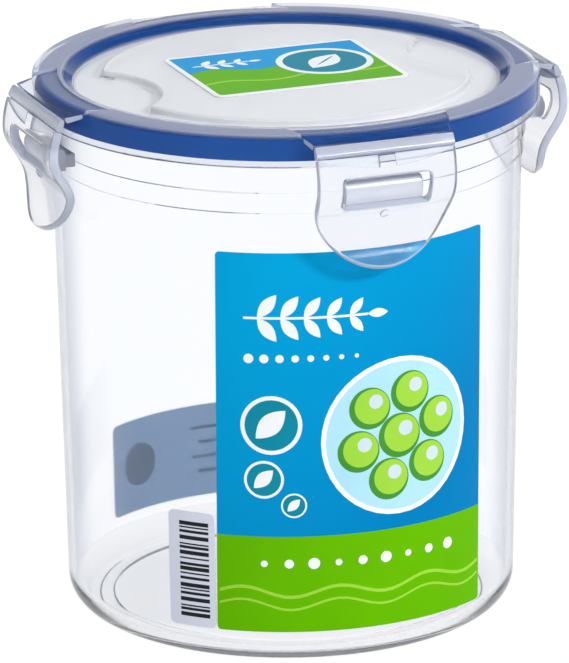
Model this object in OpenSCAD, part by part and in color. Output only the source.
// Round food storage container: a tapered clear tub with a stepped collar, a clear
// press-on lid with a blue seal ring in its rim channel, and four snap latches that
// hang from the lid on thin film hinges and hook under lugs on the tub.
// The origin is the centre of the foot, +Z is up and the front latch faces -Y.

/* [Tub] */
// Height of the tub from the foot to the top of its rim
tub_h = 109.6; // [80:0.2:160]
// Outer diameter of the wall where it meets the collar
tub_top_d = 95.8; // [70:0.2:130]
// Outer diameter that the tapered wall would have at the foot
tub_base_d = 91.9; // [66:0.2:126]
// Thickness of the wall
tub_wall = 1.5; // [1:0.1:2.4]
// Thickness of the floor
tub_floor = 1.8; // [1:0.1:3]
// Outer radius of the corner between wall and floor
tub_corner_r = 6.1; // [3:0.1:9]
// Width of the ring that the tub stands on
foot_w = 3.2; // [1.5:0.1:6]
// Height of the ring that the tub stands on
foot_h = 0.8; // [0.4:0.1:2]

/* [Collar] */
// Height of the whole collar, up to the rim
collar_h = 13.8; // [11:0.1:20]
// Height of the lower, thinner band of the collar
collar_low_h = 4.3; // [1:0.1:6]
// Step of the lower band out from the wall
collar_low_step = 0.4; // [0.2:0.05:1]
// Further step of the upper band
collar_high_step = 0.42; // [0.2:0.05:1]
// Chamfer on the collar's edges
collar_edge = 0.3; // [0.1:0.05:0.4]

/* [Seal] */
// Thickness of the seal between the rim and the lid
seal_web = 1.95; // [1:0.05:3]
// Thickness of the seal's outer leg
seal_outer_t = 1.3; // [0.8:0.05:2]
// Thickness of the seal's inner leg
seal_inner_t = 1.2; // [0.8:0.05:2]
// Height of the seal's legs
seal_leg_h = 4.35; // [3:0.05:5.5]
// Room between the seal and the tub's rim
seal_gap = 0.15; // [0.05:0.05:0.3]
// Room between the seal and the lid's channel
seal_fit = 0.05; // [0.02:0.01:0.1]

/* [Lid] */
// Thickness of the lid's panel and moat
lid_t = 1.4; // [0.8:0.1:2]
// Thickness of the lid over the seal
ring_top_t = 1.5; // [1.2:0.1:2.5]
// Thickness of the outer skirt
skirt_t = 1.4; // [1:0.1:2]
// Height of the outer skirt
skirt_h = 7; // [6:0.1:9]
// Radius of the lid's outer top edge
ring_edge_r = 1.1; // [0.4:0.05:1.2]
// Thickness of the wall inside the seal
plug_t = 1.3; // [0.8:0.1:2]
// Depth of the wall inside the seal, below the lid's top
plug_h = 5.6; // [4.5:0.1:7]
// Radius of the raised panel
panel_r = 37.6; // [24:0.1:40]
// Drop from the lid's top to the panel
panel_drop = 0.9; // [0.2:0.1:1.2]
// Drop from the lid's top to the moat round the panel
moat_drop = 2.7; // [1.8:0.1:3]
// Width of the slope from the moat up to the ring
moat_slope_w = 2.4; // [1:0.1:3]
// Radius of the two round bites in the panel's sides
bite_r = 19; // [8:0.1:24]
// How far each bite reaches into the panel
bite_depth = 9.4; // [3:0.1:14]

/* [Ears and film hinges] */
// Width of each latch and of its film hinge
latch_w = 29.2; // [22:0.1:34]
// Distance from the lid's skirt out to the film hinge
hinge_reach = 1.8; // [1.7:0.05:4]
// Drop from the lid's top to the film hinge
hinge_drop = 2.3; // [2.2:0.05:4.5]
// Thickness of the ear that carries the hinge
ear_t = 1.2; // [0.8:0.1:1.3]
// Drop from the lid's top to the flat of the ear
ear_drop = 0.55; // [0.3:0.05:0.7]
// Extra width of the ear at each end, where it meets the ring
ear_flare = 2.6; // [1:0.1:4]
// Length of the film between its two bend lines
film_len = 1.4; // [1.3:0.05:2.5]
// Thickness of the film
film_t = 0.7; // [0.3:0.05:0.8]
// Diameter of the bead along each bend line
bead_d = 0.9; // [0.84:0.02:1]
// Room round each bead
bead_gap = 0.1; // [0.05:0.01:0.2]
// Extra room over the latch's top edge for its swing
fold_room = 0.24; // [0.1:0.02:0.5]
// Lean of the film out from upright, in degrees
film_lean = 20; // [10:1:30]

/* [Latches] */
// Thickness of the latch
latch_t = 1.9; // [1.4:0.1:2.2]
// Length of the latch, from the lid's top to its rounded tip
latch_len = 28.1; // [24:0.1:34]
// Room between the latch's waist and the collar
latch_room = 2.1; // [1:0.05:3]
// How far the latch bulges out over its waist
bulge = 3.85; // [3:0.05:5]
// Drop from the lid's top to the middle of the bulge
bulge_drop = 10.2; // [9:0.1:10.6]
// Height over which the bulge runs back in to the waist
bulge_run = 9.75; // [9:0.05:12]
// How far the tip flares out again from the waist
lip_flare = 2.75; // [0:0.05:3.5]
// Width of the slot for the lug
slot_w = 18.4; // [12:0.1:20]
// Height of the slot for the lug
slot_h = 6.2; // [5:0.1:6.4]
// Drop from the lid's top to the middle of the slot
slot_drop = 11.7; // [11.4:0.1:12.6]
// Corner radius of the slot
slot_r = 0.8; // [0.3:0.1:1.2]
// Depth of the two hollows under the hinge
hollow_depth = 0.4; // [0.1:0.05:0.6]
// Height of the two hollows under the hinge
hollow_h = 2.4; // [1:0.1:5]
// Width of the rib between the two hollows
hollow_rib_w = 3.4; // [1:0.1:6]
// Width and height of the nub under the slot
nub = 1.7; // [1:0.1:2.5]
// Height of the nub over the latch's face
nub_rise = 0.4; // [0.2:0.05:0.8]

/* [Lugs on the tub] */
// How far a lug reaches under the latch's slot edge
lug_bite = 1; // [0.4:0.05:1.05]
// Room between the lug and the lower edge of the slot
lug_room_below = 0.4; // [0.3:0.05:1.5]
// Room between the lug and the upper edge of the slot
lug_room_above = 1.2; // [0.8:0.05:1.6]
// Room between the lug and each end of the slot
lug_room_side = 1; // [0.5:0.05:2]
// Extra reach of the lug's middle over its underside
lug_nose = 0.7; // [0.2:0.05:0.8]
// Chamfer under the lug's tip
lug_edge = 0.3; // [0.1:0.05:0.5]
// Thickness of the lug's bar, out from its neck
lug_bar_t = 2.8; // [2:0.1:4]
// How far the neck stands in from each end of the bar
lug_neck_inset = 2; // [0.5:0.1:4]

/* [Labels] */
// Thickness of a label
label_t = 0.2; // [0.1:0.01:0.4]
// Glue line under a label
label_glue = 0.05; // [0.02:0.01:0.1]
// Height of the labels' lower edge over the rounded corner
label_foot = 1.7; // [0.5:0.1:6]
// Room between the front label's upper edge and the collar
front_label_room = 8; // [2:0.5:40]
// Width of the front label, round the wall
front_label_w = 59.4; // [30:0.2:80]
// Turn of the front label from the front latch, in degrees
front_label_turn = -2.9; // [-10:0.1:10]
// Height of the barcode tab
tab_h = 24.4; // [12:0.2:40]
// Width of the barcode tab, round the wall
tab_w = 10.2; // [5:0.1:20]
// Gap between the barcode tab and the front label
tab_gap = 0.2; // [0.1:0.05:1]
// Height of the back label
back_label_h = 20; // [10:0.5:60]
// Width of the back label, round the wall
back_label_w = 55; // [20:0.5:90]
// Corner radius of the front label
front_label_r = 0.8; // [0.2:0.1:4]
// Corner radius of the barcode tab
tab_r = 1.2; // [0.2:0.1:4]
// Corner radius of the back label
back_label_r = 2.5; // [0.2:0.1:6]
// Width of the lid's sticker
sticker_w = 42; // [20:0.5:46]
// Depth of the lid's sticker
sticker_d = 32; // [15:0.5:34]
// Corner radius of the lid's sticker
sticker_r = 2; // [1:0.5:8]
// Place of the sticker's middle to the right of the lid's middle
sticker_x = 0.5; // [-3:0.1:3]
// Place of the sticker's middle behind the lid's middle
sticker_y = 1.2; // [-6:0.1:6]

/* [Hidden] */
$fn = 96;
eps = 0.01;
radian = 180 / PI;
clear_pp = [0.86, 0.90, 0.95, 0.45];
seal_blue = [0.10, 0.30, 0.58];
label_blue = [0.00, 0.58, 0.80];
label_lilac = [0.80, 0.82, 0.90];
label_grey_blue = [0.45, 0.58, 0.75];
sticker_green = [0.42, 0.75, 0.10];

// Tub radii at a height: the wall's outside and inside
taper = (tub_top_d - tub_base_d) / 2 / (tub_h - collar_h);
function wall_or(z) = tub_base_d / 2 + taper * z;
function wall_ir(z) = wall_or(z) - tub_wall;
corner_flat_r = wall_or(tub_corner_r) - tub_corner_r;
corner_in_r = tub_corner_r - tub_wall;
floor_z = foot_h + tub_floor;
collar_z = tub_h - collar_h;
collar_step_z = collar_z + collar_low_h;
collar_low_r = tub_top_d / 2 + collar_low_step;
rim_or = collar_low_r + collar_high_step;
rim_ir = wall_ir(tub_h);

// Seal and the lid's channel round it
seal_or = rim_or + seal_gap + seal_outer_t;
seal_ir = rim_ir - seal_gap - seal_inner_t;
seal_z = tub_h + seal_gap;
seal_top = seal_z + seal_web;
channel_or = seal_or + seal_fit;
channel_ir = seal_ir - seal_fit;
channel_z = seal_top + seal_fit;

// Lid
lid_top = channel_z + ring_top_t;
ring_or = channel_or + skirt_t;
skirt_z = lid_top - skirt_h;
plug_ir = channel_ir - plug_t;
plug_z = lid_top - plug_h;
panel_z = lid_top - panel_drop;
moat_z = lid_top - moat_drop;
moat_or = plug_ir - plug_t / 2;
ring_ir = moat_or + moat_slope_w;
bite_x = panel_r - bite_depth + bite_r;

// Hinge axes, as [radius, height] in a latch's middle plane
hinge = [ring_or + hinge_reach, lid_top - hinge_drop];
fold = hinge + film_len * [sin(film_lean), -cos(film_lean)];
bead_r = bead_d / 2;
ear_knee = [ring_or - ear_t / 2, lid_top - ear_drop - ear_t / 2];
ear_dir = (hinge - ear_knee) / norm(hinge - ear_knee);
ear_end = hinge - (bead_r + eps) * ear_dir;
ear_root_r = channel_ir + ear_t;

// Latch profile: the middle of its thickness, as a radius at a height
waist_r = collar_low_r + latch_room + latch_t / 2;
bulge_z = lid_top - bulge_drop;
waist_z = bulge_z - bulge_run;
latch_top = fold[1] - bead_r - bead_gap - fold_room;
latch_tip = lid_top - latch_len;
slot_z = lid_top - slot_drop;
latch_steps = 28;
slope_step = 0.1;
function latch_lip(z) = lip_flare * pow(max(0, waist_z - z) / (waist_z - latch_tip), 2);
function latch_mid(z) = z > bulge_z
    ? waist_r + bulge - (waist_r + bulge - fold[0]) * pow((z - bulge_z) / (fold[1] - bulge_z), 2)
    : waist_r + bulge * (1 + cos(180 * min(1, (bulge_z - z) / bulge_run))) / 2 + latch_lip(z);
function latch_slope(z) = (latch_mid(z + slope_step / 2) - latch_mid(z - slope_step / 2)) / slope_step;
function latch_normal(z) = [1, -latch_slope(z)] / norm([1, latch_slope(z)]);
function latch_point(z, off) = [latch_mid(z), z] + off * latch_normal(z);
function latch_line(z0, z1, off) =
    [for (i = [0:latch_steps]) latch_point(z0 + (z1 - z0) * i / latch_steps, off)];
function latch_in(z) = latch_mid(z) - latch_t / 2 / latch_normal(z)[0];

// Lug on the tub, tied to the slot that it holds
slot_low = slot_z - slot_h / 2;
lug_z0 = slot_low + lug_room_below;
lug_z1 = slot_z + slot_h / 2 - lug_room_above;
lug_tip_r = latch_in(slot_low) + lug_bite;
lug_bar_r = lug_tip_r - lug_bar_t;
lug_root_r = wall_ir(lug_z1) + tub_wall / 4;
lug_w = slot_w - 2 * lug_room_side;

// Turns about the tub's axis, in degrees
front_turn = 0;
right_turn = 90;
back_turn = 180;
left_turn = 270;
latch_turns = [front_turn, right_turn, back_turn, left_turn];

// Labels on the wall
label_z = tub_corner_r + label_foot;
front_label_h = collar_z - front_label_room - label_z;

// Turns a shape made for the front latch to another side
module at_side(turn) {
    rotate([0, 0, turn]) children();
}

// Runs a [radius, height] outline along the latch's width, at the front
module along_width(w) {
    rotate([90, 0, -90]) linear_extrude(w, center = true) children();
}

// Runs a [sideways, height] outline out through the front
module through_front(depth) {
    rotate([90, 0, 0]) linear_extrude(depth) children();
}

module rounded_rect(w, h, r) {
    square([w - 2 * r, h], center = true);
    square([w, h - 2 * r], center = true);
    for (x = [-1, 1], y = [-1, 1])
        translate([x * (w / 2 - r), y * (h / 2 - r)]) circle(r);
}

// Half section of the tub's outside, with the collar's two bands
module tub_outside() {
    polygon([[0, 0], [corner_flat_r, 0], [wall_or(tub_corner_r), tub_corner_r],
        [wall_or(collar_z), collar_z],
        [collar_low_r, collar_z + collar_low_step], [collar_low_r, collar_step_z],
        [rim_or, collar_step_z + collar_high_step], [rim_or, tub_h - collar_edge],
        [rim_or - collar_edge, tub_h], [0, tub_h]]);
    translate([corner_flat_r, tub_corner_r]) intersection() {
        circle(tub_corner_r);
        translate([0, -tub_corner_r]) square(tub_corner_r);
    }
}

// Half section of the room inside the tub
module tub_inside() {
    in_z = floor_z + corner_in_r;
    in_r = wall_ir(in_z);
    polygon([[0, floor_z], [in_r - corner_in_r, floor_z], [in_r, in_z],
        [rim_ir, tub_h - collar_edge], [rim_ir + collar_edge, tub_h + eps], [0, tub_h + eps]]);
    translate([in_r - corner_in_r, in_z]) intersection() {
        circle(corner_in_r);
        translate([0, -corner_in_r]) square(corner_in_r);
    }
}

// A bar that stands off the collar on a shorter neck
module lug() {
    along_width(lug_w) polygon([[lug_bar_r, lug_z0], [lug_tip_r - lug_edge, lug_z0],
        [lug_tip_r, lug_z0 + lug_edge], [lug_tip_r + lug_nose, (lug_z0 + lug_z1) / 2],
        [lug_tip_r - lug_edge, lug_z1], [lug_bar_r, lug_z1]]);
    along_width(lug_w - 2 * lug_neck_inset) polygon([[lug_root_r, lug_z0], [lug_bar_r + eps, lug_z0],
        [lug_bar_r + eps, lug_z1], [lug_root_r, lug_z1]]);
}

module tub() {
    color(clear_pp) union() {
        rotate_extrude() difference() {
            tub_outside();
            tub_inside();
            translate([0, -eps]) square([corner_flat_r - foot_w, foot_h + eps]);
        }
        for (turn = latch_turns) at_side(turn) lug();
    }
}

// Half section of the lid's ring, moat and skirt
module lid_section() {
    difference() {
        union() {
            polygon([[0, moat_z - lid_t], [0, moat_z], [moat_or, moat_z],
                [ring_ir, lid_top], [ring_or - ring_edge_r, lid_top],
                [ring_or, lid_top - ring_edge_r], [ring_or, skirt_z], [plug_ir, skirt_z],
                [plug_ir, moat_z - lid_t]]);
            translate([plug_ir, plug_z]) square([plug_t, moat_z - plug_z]);
            translate([ring_or - ring_edge_r, lid_top - ring_edge_r]) circle(ring_edge_r);
        }
        translate([channel_ir, skirt_z - eps]) square([channel_or - channel_ir, channel_z - skirt_z + eps]);
        translate([plug_ir - eps, skirt_z - eps]) square([plug_t + 2 * eps, plug_z - skirt_z + eps]);
    }
}

// Outline of the raised panel, drawn in by a wall's thickness
module panel_outline(inset) {
    difference() {
        circle(panel_r - inset);
        for (side = [-1, 1]) translate([side * bite_x, 0]) circle(bite_r + inset);
    }
}

// Half section of an ear: a flat by the ring, then a slope down to the film hinge
module ear_section() {
    half = ear_t / 2;
    up = half * [-ear_dir[1], ear_dir[0]];
    translate([ear_root_r, ear_knee[1] - half]) square([ear_knee[0] - ear_root_r, ear_t]);
    translate(ear_knee) circle(half);
    polygon([ear_knee + up, ear_end + up, ear_end - up, ear_knee - up]);
}

// The ear's outline from above, wider at the ring than at the hinge
module ear_plan() {
    half = latch_w / 2;
    wide = half + ear_flare;
    reach = hinge[0] + bead_d;
    polygon([[-half, -reach], [half, -reach], [half, -hinge[0] + bead_d], [wide, -channel_ir],
        [-wide, -channel_ir], [-half, -hinge[0] + bead_d]]);
}

module ear() {
    difference() {
        intersection() {
            along_width(latch_w + 2 * ear_flare) ear_section();
            linear_extrude(lid_top + eps) ear_plan();
        }
        translate([0, 0, skirt_z]) cylinder(r = channel_or, h = channel_z - skirt_z);
        translate([0, 0, skirt_z]) cylinder(r = channel_ir, h = lid_top - skirt_z);
    }
}

// The notch that lowers the ring's outer lip over an ear
module ear_notch() {
    intersection() {
        rotate_extrude() translate([ear_root_r, lid_top - ear_drop])
            square([ring_or - ear_root_r + eps, ear_drop + eps]);
        translate([-latch_w / 2 - ear_flare / 2, -ring_or - eps, 0])
            cube([latch_w + ear_flare, ring_or, lid_top + ear_t]);
    }
}

module bead_groove(axis) {
    along_width(latch_w + 2 * ear_flare + 2 * eps) translate(axis) circle(bead_r + bead_gap);
}

module lid() {
    color(clear_pp) difference() {
        union() {
            rotate_extrude() lid_section();
            translate([0, 0, moat_z - lid_t]) linear_extrude(panel_z - moat_z + lid_t) panel_outline(0);
            for (turn = latch_turns) at_side(turn) ear();
        }
        translate([0, 0, moat_z - lid_t - eps])
            linear_extrude(panel_z - moat_z + eps) panel_outline(lid_t);
        for (turn = latch_turns) at_side(turn) {
            ear_notch();
            bead_groove(hinge);
        }
    }
}

module seal() {
    leg_z = seal_top - seal_leg_h;
    color(seal_blue) rotate_extrude() {
        translate([seal_ir, seal_z]) square([seal_or - seal_ir, seal_web]);
        translate([seal_or - seal_outer_t, leg_z]) square([seal_outer_t, seal_top - leg_z]);
        translate([seal_ir, plug_z]) square([seal_inner_t, seal_top - plug_z]);
    }
}

// A film between two beads, one on each bend line
module film_hinge(turn) {
    across = film_t / 2 * [cos(film_lean), sin(film_lean)];
    color(clear_pp) at_side(turn) union() {
        along_width(latch_w) polygon([hinge + across, fold + across, fold - across, hinge - across]);
        for (axis = [hinge, fold]) along_width(latch_w) translate(axis) circle(bead_r);
    }
}

// A layer of the latch between two distances from the middle of its thickness
module latch_layer(z0, z1, inner, outer) {
    along_width(latch_w) polygon(concat(latch_line(z0, z1, outer), latch_line(z1, z0, inner)));
}

// The latch from the front: straight sides and a half-round tip
module latch_front_outline() {
    tip_r = latch_w / 2;
    translate([-tip_r, latch_tip + tip_r]) square([latch_w, latch_top - latch_tip]);
    translate([0, latch_tip + tip_r]) circle(tip_r);
}

// Two hollows under the hinge, with a rib between them
module hollow_outline() {
    arc_r = (pow(latch_w / 2, 2) + pow(hollow_h, 2)) / 2 / hollow_h;
    difference() {
        translate([0, latch_top - hollow_h + arc_r]) circle(arc_r);
        translate([-hollow_rib_w / 2, latch_tip]) square([hollow_rib_w, latch_len]);
    }
}

module latch(turn) {
    reach = hinge[0] + bulge;
    half = latch_t / 2;
    color(clear_pp) at_side(turn) union() {
        difference() {
            intersection() {
                latch_layer(latch_tip, latch_top, -half, half);
                through_front(reach) latch_front_outline();
            }
            through_front(reach) translate([0, slot_z]) rounded_rect(slot_w, slot_h, slot_r);
            intersection() {
                latch_layer(bulge_z, latch_top + half, half - hollow_depth, half + hollow_depth);
                through_front(reach) hollow_outline();
            }
        }
        intersection() {
            latch_layer(slot_low - 2 * nub, slot_low, 0, half + nub_rise);
            through_front(reach) translate([-nub / 2, slot_low - nub - slot_r]) square(nub);
        }
    }
}

// Half the straight width of a label that has a width round the wall, and half the turn of its foot
function half_chord(w, h) = wall_or(label_z + h / 2) * sin(w / 2 / wall_or(label_z + h / 2) * radian);
function half_turn(w, h) = asin(half_chord(w, h) / wall_or(label_z));
tab_turn = front_label_turn - half_turn(front_label_w, front_label_h) - half_turn(tab_w, tab_h)
    - tab_gap / wall_or(label_z) * radian;

// A label with rounded corners that lies on the tapered wall, turned from the front
module wall_label(w, h, r, turn) {
    r0 = wall_or(label_z) + label_glue;
    r1 = wall_or(label_z + h) + label_glue;
    reach = max(r0, r1) + label_t;
    at_side(turn) intersection() {
        rotate_extrude()
            polygon([[r0, label_z], [r0 + label_t, label_z], [r1 + label_t, label_z + h], [r1, label_z + h]]);
        through_front(reach) translate([0, label_z + h / 2]) rounded_rect(2 * half_chord(w, h), h, r);
    }
}

module front_label() {
    color(label_blue) wall_label(front_label_w, front_label_h, front_label_r, front_label_turn);
}

module barcode_tab() {
    color(label_lilac) wall_label(tab_w, tab_h, tab_r, tab_turn);
}

module back_label() {
    color(label_grey_blue) wall_label(back_label_w, back_label_h, back_label_r, back_turn);
}

module lid_sticker() {
    color(sticker_green) translate([sticker_x, sticker_y, panel_z + label_glue])
        linear_extrude(label_t) rounded_rect(sticker_w, sticker_d, sticker_r);
}

tub();
lid();
seal();
film_hinge(front_turn);  // film_hinge_front
film_hinge(right_turn);  // film_hinge_right
film_hinge(back_turn);  // film_hinge_back
film_hinge(left_turn);  // film_hinge_left
latch(front_turn);  // latch_front
latch(right_turn);  // latch_right
latch(back_turn);  // latch_back
latch(left_turn);  // latch_left
front_label();
barcode_tab();
back_label();
lid_sticker();
